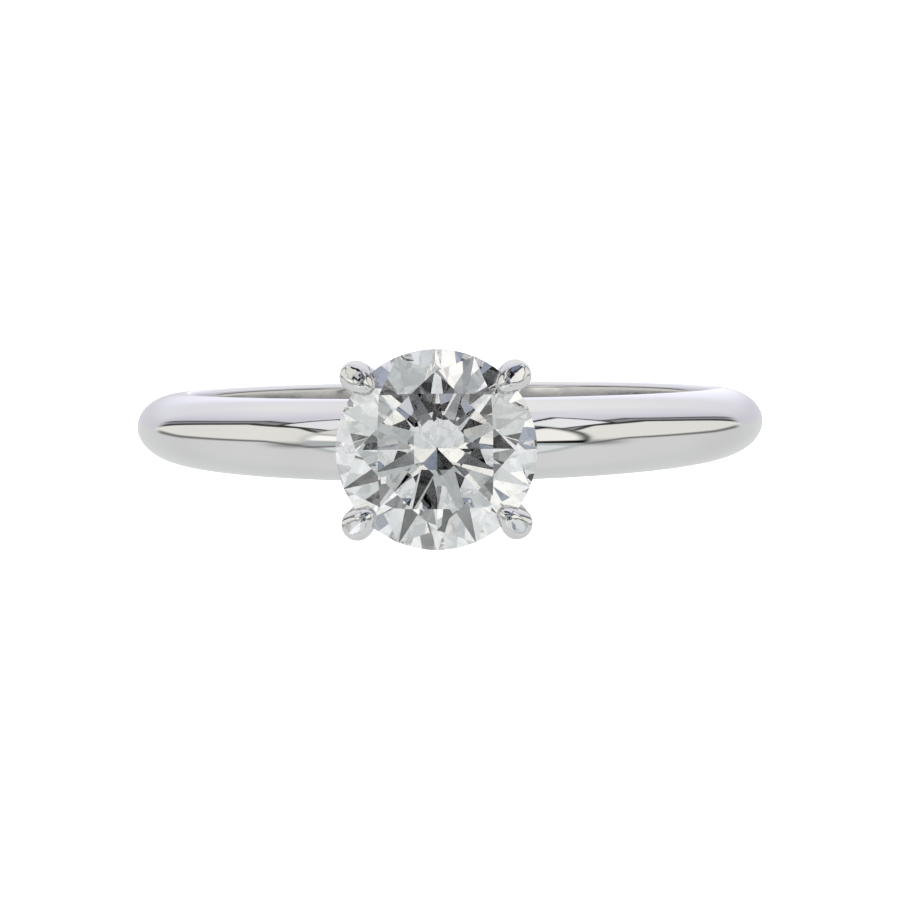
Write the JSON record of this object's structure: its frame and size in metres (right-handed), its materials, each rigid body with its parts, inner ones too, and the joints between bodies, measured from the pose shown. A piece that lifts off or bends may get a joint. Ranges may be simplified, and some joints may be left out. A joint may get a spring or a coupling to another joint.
{
  "type": "engagement ring",
  "caption": "Solitaire engagement ring: a round brilliant held by claws in an open basket head, on a plain tapered half-round band of polished white gold.",
  "frame": {"origin": "centre of the finger hole, on the line of the finger", "axes": "+Y along the finger through the hole, +Z out through the middle of the stone, +X across the hand"},
  "size_m": [0.021, 0.0066, 0.0252],
  "materials": {
    "band_white_gold": "white gold, rhodium plated, mirror polish",
    "head_white_gold": "white gold, rhodium plated, tumbled and polished",
    "claw_white_gold": "white gold, rhodium plated, tips filed round and burnished",
    "diamond": "faceted and polished, near colourless"
  },
  "bodies": {
    "root": {"shank": "band_white_gold", "head_base": "head_white_gold", "lower_gallery_rail": "head_white_gold", "upper_gallery_rail": "head_white_gold", "claw_back_right": "claw_white_gold", "claw_back_left": "claw_white_gold", "claw_front_left": "claw_white_gold", "claw_front_right": "claw_white_gold", "diamond": "diamond"}
  },
  "joints": []
}
